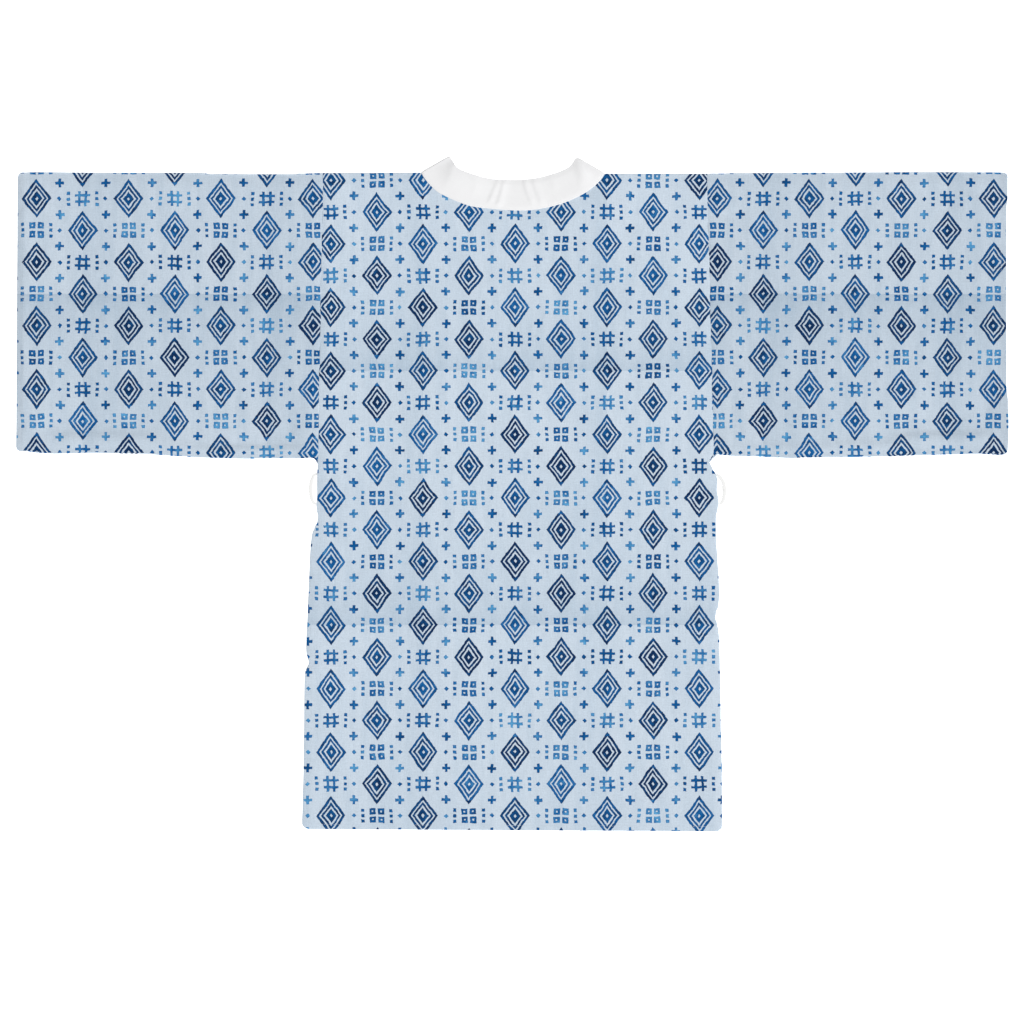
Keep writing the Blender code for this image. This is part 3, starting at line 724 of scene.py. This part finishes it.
def air(x, y, edge):
    """Height of the air under the upper layer: nothing at an edge, uneven further in."""
    inside = ease(edge / AIR_EDGE)
    uneven = 1.0 + 0.22 * swell(x, y, 0.16, 5) + 0.10 * swell(x, y, 0.07, 6)
    creases = crease_relief(x, y, CLOTH_CREASES, CREASE_HOLLOW) * ease(edge / 0.010)
    return inside * AIR * uneven + creases


def slope_off(distance, reach, drop):
    """An even fall towards an edge that starts at its reach with a soft break."""
    soft = 0.0010
    fallen = soft * np.logaddexp(0.0, (reach - distance) / soft)
    return -drop * np.minimum(fallen / reach, 1.0)


def distance_to_curve(x, y, curve):
    """Distance from each place to the nearest point of a finely drawn curve."""
    nearest = np.full(x.shape, 1.0)
    for point_x, point_y in curve:
        nearest = np.minimum(nearest, np.hypot(x - point_x, y - point_y))
    return nearest


def hem_relief(distance):
    """A turned hem: a little thicker up to its width, with a soft dip at the row of stitches."""
    turned = HEM_STEP * (1.0 - ease((distance - HEM_WIDTH) / HEM_STEP_REACH))
    dip = STITCH_DIP * np.exp(-((distance - HEM_WIDTH + STITCH_ROW) / STITCH_DIP_REACH) ** 2)
    return turned - dip


def spaced(low, high, step, fine_low=0.0, fine_high=0.0, fine=0.0008):
    """Places from low to high, closer together for a stretch at either end."""
    places = [low]
    while places[-1] < high - 1e-9:
        from_low = places[-1] - low
        from_high = high - places[-1]
        near = min(from_low / max(fine_low, 1e-9), from_high / max(fine_high, 1e-9))
        pace = fine + (step - fine) * float(ease(near - 0.5)) if near < 1.5 else step
        places.append(places[-1] + pace)
    places = np.array(places)
    return low + (places - low) * (high - low) / (places[-1] - low)


def back_surface():
    """The back's upper surface: points and cloth map."""
    left_arm = edge_at(SIDE_LEFT, SHOULDER_Y)
    right_arm = edge_at(SIDE_RIGHT, SHOULDER_Y)
    seam = curve_through(NECK_SEAM, np.linspace(0.0, 1.0, 79))
    normal = np.gradient(seam, axis=0)
    normal = np.stack([-normal[:, 1], normal[:, 0]], axis=1) / np.linalg.norm(normal, axis=1)[:, None]
    neck = seam + normal * SEAM_TUCK
    neck[:, 1] = np.minimum(neck[:, 1], edge_at(TOP_EDGE, neck[:, 0]))
    left_part = left_arm + spaced(0.0, neck[0, 0] - left_arm, 0.0042, 0.008, 0.0)
    right_part = right_arm - spaced(0.0, right_arm - neck[-1, 0], 0.0042, 0.008, 0.0)[::-1]
    x_top = np.concatenate([left_part[:-1], neck[:, 0], right_part[1:]])
    y_top = np.concatenate([edge_at(TOP_EDGE, left_part[:-1]), neck[:, 1],
                            edge_at(TOP_EDGE, right_part[1:])])
    shares = spaced(0.0, 1.0, 1 / 230, 0.012, 0.012, 0.0012)[:, None]
    across = (x_top - left_arm) / (right_arm - left_arm)
    low = hem_y(x_top)
    y = low + (y_top - low) * shares
    left = edge_at(SIDE_LEFT, y) + corner_drop(y - HEM_LEFT_Y, HEM_CORNER_R)
    right = edge_at(SIDE_RIGHT, y) - corner_drop(y - HEM_RIGHT_Y, HEM_CORNER_R)
    x = left + (right - left) * across
    lift = band_lift(x, y)
    from_side = np.minimum(x - left, right - x)
    from_hem = y - low
    from_neck = distance_to_curve(x, y, curve_through(NECK_SEAM, np.linspace(0.0, 1.0, 150)))
    from_shoulder = np.maximum(edge_at(TOP_EDGE, x) - y, 0.0)
    edge = np.minimum(np.minimum(from_side, from_hem), np.minimum(from_neck, from_shoulder))
    z = BACK_UNDER + BACK_WALL + lift + air(x, y, edge)
    z = z + hem_relief(from_hem) * ease(from_side / 0.004)
    z = z - SEAM_DIP * np.exp(-(from_side / SEAM_DIP_REACH) ** 2)
    z = z + slope_off(from_shoulder, *SHOULDER_FALL) * ease((from_neck - 0.002) / 0.02)
    z = z + pucker(y, x - left, 21, *PUCKERS["side"])
    z = z + pucker(y, right - x, 22, *PUCKERS["side"])
    z = z + pucker(x, from_neck, 23, *PUCKERS["neck"])
    z = np.maximum(z, BACK_UNDER + CLOTH + lift)
    cloth = np.stack([x - BODY_REPEAT[0], y - BODY_REPEAT[1]], axis=-1)
    return np.stack([x, y, z], axis=-1), cloth


def make_back(material):
    points, cloth = back_surface()
    piece = thicken(grid_object("back_cloth", points, cloth), CLOTH, -1.0)
    return dress(piece, material, ["back"]), points


def make_front(name, sign, material):
    """A front panel, flat on the surface, with faint lifts where the cloth doesn't touch it."""
    side = SIDE_LEFT if sign < 0 else SIDE_RIGHT
    hem = min(HEM_LEFT_Y, HEM_RIGHT_Y)
    rise = spaced(0.0, 1.0, 1 / 110, 0.02, 0.0, 0.002)[:, None]
    y = hem + (SHOULDER_Y - hem) * rise
    outer = edge_at(side, y) - sign * (HIDDEN_INSET + corner_drop(y - hem, HEM_CORNER_R))
    inner = front_seam_x(sign, y) + sign * SEAM_GAP
    share = np.linspace(0.0, 1.0, 34)
    x = outer + (inner - outer) * share if sign < 0 else inner + (outer - inner) * share
    low = hem_y(x) + HIDDEN_INSET
    y = low + (edge_at(TOP_EDGE, x) - HIDDEN_INSET - low) * rise
    inside = ease(np.minimum(np.abs(outer - x), np.abs(x - inner)) / 0.03)
    lifts = np.clip(swell(x, y, 0.22, 31 + sign) - 0.15, 0.0, 1.0)
    z = FRONT_LIFT * lifts * inside * ease((y - hem) / 0.03) * ease((SHOULDER_Y - y) / 0.03)
    cloth = np.stack([-x - BODY_REPEAT[0], y - BODY_REPEAT[1]], axis=-1)
    piece = grid_object(name + "_cloth", np.stack([x, y, z], axis=-1), cloth)
    return dress(thicken(piece, CLOTH, 1.0), material, [name])


def sleeve_surface(sign):
    """The sleeve's outer surface, once round: points in rows along the ring, and cloth map."""
    side = SIDE_LEFT if sign < 0 else SIDE_RIGHT
    low_edge = SLEEVE_LOW_LEFT if sign < 0 else SLEEVE_LOW_RIGHT
    radius = SLEEVE_EDGE_R
    arm_x = float(edge_at(side, SHOULDER_Y / 2))
    length = abs(sign * CUFF_X - arm_x)
    from_cuff = spaced(0.0, length, 0.0036, 0.010, 0.014, 0.0006)
    if sign > 0:
        from_cuff = from_cuff[::-1]
    top = spaced(0.0, 1.0, 1 / 110, 0.02, 0.02, 0.0030)
    turn_steps = 7
    fold = math.pi * (0.5 - np.arange(1, turn_steps) / turn_steps)
    under = np.linspace(1.0, 0.0, 40)
    seam = math.pi * (1.5 - np.arange(1, turn_steps) / turn_steps)
    across = np.concatenate([top, np.ones(len(fold)), under, np.zeros(len(seam))])[:, None]
    turn = np.concatenate([np.full(len(top), math.pi / 2), fold, np.full(len(under), -math.pi / 2),
                           seam])[:, None]
    share = from_cuff / length
    low_x = sign * (CUFF_X - from_cuff)
    for _ in range(6):
        low_y = edge_at(low_edge, low_x)
        cuff = edge_at(CUFF_EDGE[sign], low_y)
        low_x = cuff + (edge_at(side, low_y) - cuff) * share
    cuff = edge_at(CUFF_EDGE[sign], SHOULDER_Y)
    high_x = cuff + (edge_at(side, SHOULDER_Y) - cuff) * share
    drop = corner_drop(from_cuff, CUFF_CORNER_R)
    low = low_y + drop + radius
    high = edge_at(TOP_EDGE, high_x) - drop - radius
    y = low + (high - low) * across + radius * np.cos(turn)

    # The upper layer's end is tucked under the back, the lower layer meets the front
    upper = np.arange(len(y))[:, None] < len(top)
    arm = edge_at(side, y) + sign * np.where(upper, -ARM_TUCK, SEAM_GAP)
    cuff = edge_at(CUFF_EDGE[sign], y)
    x = cuff + (arm - cuff) * share
    from_edge = np.minimum(y - low, high - y)
    from_arm = sign * (x - edge_at(side, y))
    to_cuff = np.abs(x - cuff)
    inside = np.minimum(from_edge, to_cuff + 0.004)
    raised = air(x, y, np.maximum(inside, 0.0)) * ease((from_arm + 0.002) / 0.02)
    raised = raised + hem_relief(to_cuff) * ease(from_edge / 0.004)
    raised = raised + slope_off(to_cuff, CUFF_FALL_REACH, CUFF_FALL[sign])
    raised = raised + pucker(y, np.maximum(from_arm, 0.0), 51 + sign, *PUCKERS["armhole"])
    raised = raised + pucker(x, y - low, 61 + sign, *PUCKERS["underarm"])
    raised = raised + pucker(y, to_cuff, 71 + sign, *PUCKERS["cuff"])
    raised = raised * ease(from_edge / 0.005) + slope_off(high - y, *FOLD_FALL)
    raised = raised - SEAM_DIP * np.exp(-(from_arm / SEAM_DIP_REACH) ** 2)
    tucked = ARM_TUCK_DROP * ease((0.0004 - from_arm) / (ARM_TUCK + 0.0004))
    z = radius + radius * np.sin(turn) + np.where(upper, np.maximum(raised, LAYERS_MEET) - tucked, 0.0)
    lifts = np.clip(swell(x, y, 0.2, 81 + sign) - 0.2, 0.0, 1.0)
    z = z + np.where(np.sin(turn) < -0.99, SLEEVE_LIFT * lifts * ease(from_edge / 0.03), 0.0)
    steps = np.hypot(np.diff(y, axis=0, append=y[:1]), np.diff(z, axis=0, append=z[:1]))
    round_ring = np.concatenate([np.zeros((1, steps.shape[1])), np.cumsum(steps, axis=0)])
    repeat_x, repeat_y = SLEEVE_REPEAT[sign]
    along_x = np.concatenate([x, x[:1]])
    cloth = np.stack([repeat_x - along_x, repeat_y - y[:1] - round_ring], axis=-1)
    return np.stack([x, y, z], axis=-1), cloth


def make_sleeve(name, sign, material):
    points, cloth = sleeve_surface(sign)
    piece = grid_object(name + "_cloth", points, cloth, closed_rows=True)
    thicken(piece, CLOTH, -1.0)
    return dress(piece, material, [name]), points


def lengths_along(line):
    """The length of a line of points up to each point."""
    return np.concatenate([[0.0], np.cumsum(np.linalg.norm(np.diff(line, axis=0), axis=1))])


def curve_through(points, shares):
    """Places on a smooth curve through points, at shares of its length."""
    lengths = lengths_along(points)
    wanted = np.asarray(shares) * lengths[-1]
    index = np.clip(np.searchsorted(lengths, wanted) - 1, 0, len(points) - 2)
    t = ((wanted - lengths[index]) / (lengths[index + 1] - lengths[index]))[:, None]
    before = points[np.maximum(index - 1, 0)]
    start, end = points[index], points[index + 1]
    after = points[np.minimum(index + 2, len(points) - 1)]
    return 0.5 * (2 * start + (end - before) * t + (2 * before - 5 * start + 4 * end - after) * t ** 2
                  + (3 * start - before - 3 * end + after) * t ** 3)


def front_band_path(sign, straight_steps=60, bend_steps=12, slant_steps=44):
    straight_x, pivot, lean, head, seam, free = front_seam(sign)
    inner_x = sign * BAND_CENTRE_GAP
    hem = float(hem_y(straight_x)) + HIDDEN_INSET
    seams, frees = [], []
    for step in range(straight_steps):
        y = hem + (pivot[1] - hem) * step / straight_steps
        seams.append((straight_x, y))
        frees.append((inner_x, y))
    for step in range(bend_steps):
        turn = lean * step / bend_steps
        spoke = np.array((-sign * math.cos(turn), math.sin(turn)))
        seams.append(pivot + spoke * BAND_BEND_R)
        frees.append(pivot + spoke * (BAND_BEND_R + BAND_WIDTH))
    spoke = np.array((-sign * math.cos(lean), math.sin(lean)))
    head_free = pivot + spoke * (BAND_BEND_R + BAND_WIDTH)
    for step in range(slant_steps + 1):
        share = step / slant_steps
        seams.append(head + (seam - head) * share)
        frees.append(head_free + (free - head_free) * share)
    return np.array(seams, float), np.array(frees, float)


def band_path(fold_steps=10, neck_steps=260):
    """The band from hem to hem: seam and free points, outward direction and neck share."""
    rows = []
    for seam, free in zip(*front_band_path(-1)):
        rows.append((*seam, BAND_LOW_Z, *free, BAND_LOW_Z, 0, 0, -1, -1))
    ends = {sign: fold_side(sign) for sign in (-1, 1)}
    middle = (BAND_LOW_Z + BAND_HIGH_Z) / 2

    def fold(sign, turns):
        seam, free, upward = ends[sign]
        made = []
        for turn in turns:
            out = upward * BAND_FOLD_R * math.cos(turn)
            z = middle + BAND_FOLD_R * math.sin(turn)
            facing = (*(upward * math.cos(turn)), math.sin(turn))
            made.append((*(seam + out), z, *(free + out), z, *facing, -1))
        return made

    turns = [math.pi * (step / fold_steps - 0.5) for step in range(1, fold_steps)]
    rows += fold(-1, turns)
    shares = np.linspace(0.0, 1.0, neck_steps + 1)
    seam_line = curve_through(np.vstack([ends[-1][0], NECK_SEAM[1:-1], ends[1][0]]), shares)
    free_line = curve_through(np.vstack([ends[-1][1], FREE_EDGE, ends[1][1]]), shares)
    for share, seam, free in zip(shares, seam_line, free_line):
        rows.append((*seam, BAND_HIGH_Z, *free, BAND_HIGH_Z, 0, 0, 1, share))
    rows += fold(1, [-turn for turn in turns])
    for seam, free in list(zip(*front_band_path(1)))[::-1]:
        rows.append((*seam, BAND_LOW_Z, *free, BAND_LOW_Z, 0, 0, -1, -1))
    rows = np.array(rows, float)
    return rows[:, 0:3], rows[:, 3:6], rows[:, 6:9], rows[:, 9]


def neck_relief(x, y, share, across):
    """Height of the band's creases at the back of the neck, level again at its seam."""
    on_neck = ease(share * 14) * ease((1.0 - share) * 20)
    roll = ROLL_HEIGHT * (1.0 - ease((share - 0.14) * 3.0)) + crease_relief(x, y, BAND_ROLLS)
    relief = crease_relief(x, y, BAND_CREASES) * ease(across * 5.0) + roll * ease(across * 1.3)
    return np.where(share >= 0.0, on_neck * relief, 0.0)


def make_neckband(material):
    """The band: a folded strip with a round free edge, lofted from hem to hem."""
    seam, free, facing, share = band_path()
    across_steps = 46
    edge_steps = 6
    width = np.linalg.norm(free - seam, axis=1)[None, :]
    wall = np.linspace(0.0, 1.0, across_steps + 1)
    free_turn = math.pi * (0.5 - np.arange(1, edge_steps) / edge_steps)
    across = np.concatenate([wall, np.ones(edge_steps - 1), wall[::-1]])[:, None]
    turn = np.concatenate([np.full(len(wall), math.pi / 2), free_turn,
                           np.full(len(wall), -math.pi / 2)])[:, None]

    # It is pressed thinner towards its free edge, and pulled down to the robe along the seam
    pressed = BAND_PRESSED * np.exp(-((1.0 - across) * width / BAND_PRESSED_REACH) ** 2)
    half = BAND_CLOTH / 2 * (1.0 - pressed)
    inner = across * (width - half) / width + half * np.cos(turn) / width
    pulled = 1.0 - SEAM_PULL * np.exp(-(across * width / SEAM_PULL_REACH) ** 2)
    offset = half * np.sin(turn) * np.where(turn > 0, pulled, 1.0)
    base = seam[None] + (free - seam)[None] * inner[..., None]
    points = base + facing[None] * offset[..., None]
    points[..., 2] += neck_relief(points[..., 0], points[..., 1], share[None, :], across)
    along = lengths_along((seam + free) / 2)
    layer = np.where(turn < 0, 2.0 - inner, inner) * width
    layer = np.concatenate([layer, 2.0 * width])
    cloth = np.stack(np.broadcast_arrays(along[None, :], layer), axis=-1)
    piece = grid_object("neckband_cloth", points, cloth, closed_rows=True)
    close_ends(piece)
    return dress(piece, material, ["neckband"]), points[:across_steps + 1]


def close_ends(piece):
    """Closes the two ends of the strip, so that it is one closed body."""
    mesh = bmesh.new()
    mesh.from_mesh(piece.data)
    bmesh.ops.holes_fill(mesh, edges=[edge for edge in mesh.edges if edge.is_boundary], sides=0)
    bmesh.ops.recalc_face_normals(mesh, faces=mesh.faces)
    mesh.to_mesh(piece.data)
    mesh.free()


def make_belt_loop(name, sign, material):
    """A belt loop: two flattened strands of thread twisted along a half ellipse."""
    side = SIDE_LEFT if sign < 0 else SIDE_RIGHT
    middle_y, half_height, bulge = LOOPS[sign]
    steps = 150
    ring = 14
    verts, faces = [], []
    share = np.linspace(0.0, 1.0, steps + 1)
    angle = math.pi * share
    y = middle_y + half_height * np.cos(angle)
    end = middle_y + half_height * np.where(angle < math.pi / 2, 1.0, -1.0)
    start_x = edge_at(side, (y + end) / 2) + sign * 2 * SEAM_GAP
    path = np.stack([start_x + sign * bulge * np.sin(angle), y, np.full(steps + 1, LOOP_Z)], axis=-1)
    along = np.gradient(path, axis=0)
    along /= np.linalg.norm(along, axis=1)[:, None]
    up = np.array((0.0, 0.0, 1.0))
    out = np.cross(along, up)
    width = STRAND_END_WIDTH + (1.0 - STRAND_END_WIDTH) * np.sqrt(np.sin(angle).clip(0.0))
    for strand in (0, 1):
        phase = 2 * math.pi * LOOP_TURNS * share + math.pi * strand
        shift = TWIST_R * (np.cos(phase)[:, None] * out + STRAND_FLATNESS * np.sin(phase)[:, None] * up)
        shift = shift * width[:, None]
        first = len(verts)
        for step in range(steps + 1):
            for corner in range(ring):
                turn = 2 * math.pi * corner / ring
                spoke = math.cos(turn) * out[step] + STRAND_FLATNESS * math.sin(turn) * up
                verts.append(path[step] + shift[step] + STRAND_R * width[step] * spoke)
        faces += tube_faces(first, steps + 1, ring)
    piece = mesh_object(name + "_thread", verts, faces)
    return dress(piece, material, [name])


def mesh_object(name, verts, faces):
    mesh = bpy.data.meshes.new(name)
    mesh.from_pydata([tuple(vert) for vert in verts], [], faces)
    work = bmesh.new()
    work.from_mesh(mesh)
    bmesh.ops.recalc_face_normals(work, faces=work.faces)
    work.to_mesh(mesh)
    work.free()
    mesh.shade_smooth()
    return placed(name, mesh)


def stitches(name, lines, material, length=0.0026, gap=0.0008, radius=0.00022):
    """Rows of stitches along lines of points: each is a short thread that dips in at its ends."""
    verts, faces = [], []
    sides = 5
    profile = ((0.0, 0.35, -0.8), (0.18, 0.9, 0.1), (0.5, 1.0, 0.45), (0.82, 0.9, 0.1),
               (1.0, 0.35, -0.8))
    for line in lines:
        line = np.asarray(line, float)
        reach = lengths_along(line)
        count = int(reach[-1] // (length + gap))
        for stitch in range(count):
            start = stitch * (length + gap)
            low = np.array([np.interp(start, reach, line[:, k]) for k in range(3)])
            high = np.array([np.interp(start + length, reach, line[:, k]) for k in range(3)])
            along = (high - low) / np.linalg.norm(high - low)
            out = np.cross(along, (0.0, 0.0, 1.0))
            up = np.cross(out, along)
            first = len(verts)
            for share, size, lift in profile:
                centre = low + (high - low) * share + up * radius * lift
                for corner in range(sides):
                    turn = 2 * math.pi * corner / sides
                    spoke = math.cos(turn) * out + math.sin(turn) * up
                    verts.append(centre + spoke * radius * size)
            faces += tube_faces(first, len(profile), sides)
    return dress(mesh_object(name, verts, faces), material)


def surface_line(points, x, y):
    """Heights of a panel's surface at places x, y, from its nearest points."""
    flat = points.reshape(-1, 3)
    line = []
    for place_x, place_y in zip(x, y):
        away = (flat[:, 0] - place_x) ** 2 + (flat[:, 1] - place_y) ** 2
        near = np.argpartition(away, 4)[:4]
        weight = 1 / (away[near] + 1e-9)
        line.append((place_x, place_y, float((flat[near, 2] * weight).sum() / weight.sum())))
    return line


def make_stage():
    """A plain white floor, lit from within so that it stays white up to the cloth."""
    bpy.ops.mesh.primitive_plane_add(size=FLOOR_SIZE, location=(0.0, 0.0, FLOOR_Z))
    floor = bpy.context.active_object
    floor.name = "floor"
    g = Graph("floor_white")
    speck = g.noise(g.node("ShaderNodeTexCoord").outputs["Object"], 3.0)
    white = g.blend(speck, (0.93, 0.93, 0.93, 1.0), (0.95, 0.95, 0.95, 1.0))
    g.put(g.shader.inputs["Base Color"], white)
    g.shader.inputs["Roughness"].default_value = 0.95
    g.shader.inputs["Specular IOR Level"].default_value = 0.0
    g.shader.inputs["Emission Color"].default_value = (1.0, 1.0, 1.0, 1.0)
    g.shader.inputs["Emission Strength"].default_value = FLOOR_GLOW
    floor.data.materials.append(g.material)


def make_light():
    """Even light from all round, and a broad soft sun from the lower right."""
    world = bpy.data.worlds.new("soft_room")
    world.use_nodes = True
    background = world.node_tree.nodes["Background"]
    background.inputs["Color"].default_value = (1.0, 1.0, 1.0, 1.0)
    background.inputs["Strength"].default_value = LIGHT_LEVEL * WORLD_SHARE
    bpy.context.scene.world = world
    towards = Vector((*SUN_LEANS, SUN_RISES)).normalized()
    sun = bpy.data.lights.new("sun", "SUN")
    sun.energy = LIGHT_LEVEL * (1.0 - WORLD_SHARE) * math.pi / towards.z
    sun.angle = math.radians(SUN_SPREAD_DEGREES)
    placed("sun", sun).rotation_euler = towards.to_track_quat("Z", "Y").to_euler()
    bpy.context.scene.view_settings.view_transform = "Standard"


def make_camera():
    """Straight down, as far off as the lens needs for the photograph's frame."""
    data = bpy.data.cameras.new("camera")
    data.lens = LENS
    data.sensor_width = SENSOR
    camera = placed("camera", data)
    camera.location = (0.0, VIEW_CENTRE_Y, PICTURE_PIXELS * PIXEL * LENS / SENSOR)
    bpy.context.scene.camera = camera


def main():
    make_camera()
    body_cotton = printed_cloth("body_cotton", BODY_GROUND)
    sleeve_cotton = printed_cloth("sleeve_cotton", SLEEVE_GROUND, cuffs=True)
    band_cotton = plain_cloth("band_cotton", BAND_COLOUR, 0.70)
    pale_thread = thread_material("pale_thread", THREAD_COLOUR)
    white_thread = thread_material("white_thread", BAND_COLOUR)
    loop_thread = thread_material("loop_thread", LOOP_COLOUR)

    back, back_points = make_back(body_cotton)
    fronts = [make_front("front_left", -1, body_cotton), make_front("front_right", 1, body_cotton)]
    sleeves = {}
    cuff_lines = []
    for name, sign in (("sleeve_left", -1), ("sleeve_right", 1)):
        sleeves[name], points = make_sleeve(name, sign, sleeve_cotton)
        y = np.linspace(*CUFF_STITCHED, 130)
        x = np.full(len(y), sign * CUFF_STITCH_X)
        upper = points[points[..., 2].min(axis=1) > 0.002]
        cuff_lines.append(surface_line(upper, x, y))
    band, band_points = make_neckband(band_cotton)

    hem_x = np.linspace(*HEM_STITCHED, 190)
    hem_line = surface_line(back_points, hem_x, hem_y(hem_x) + HEM_WIDTH - STITCH_ROW)
    hem_stitches = stitches("hem_stitches", [hem_line], pale_thread)
    stitches("cuff_stitches", cuff_lines, pale_thread)
    stitches("band_stitches", [band_points[2]], white_thread, radius=0.00015)

    make_belt_loop("belt_loop_left", -1, loop_thread)
    make_belt_loop("belt_loop_right", 1, loop_thread)

    make_stage()
    make_light()


main()
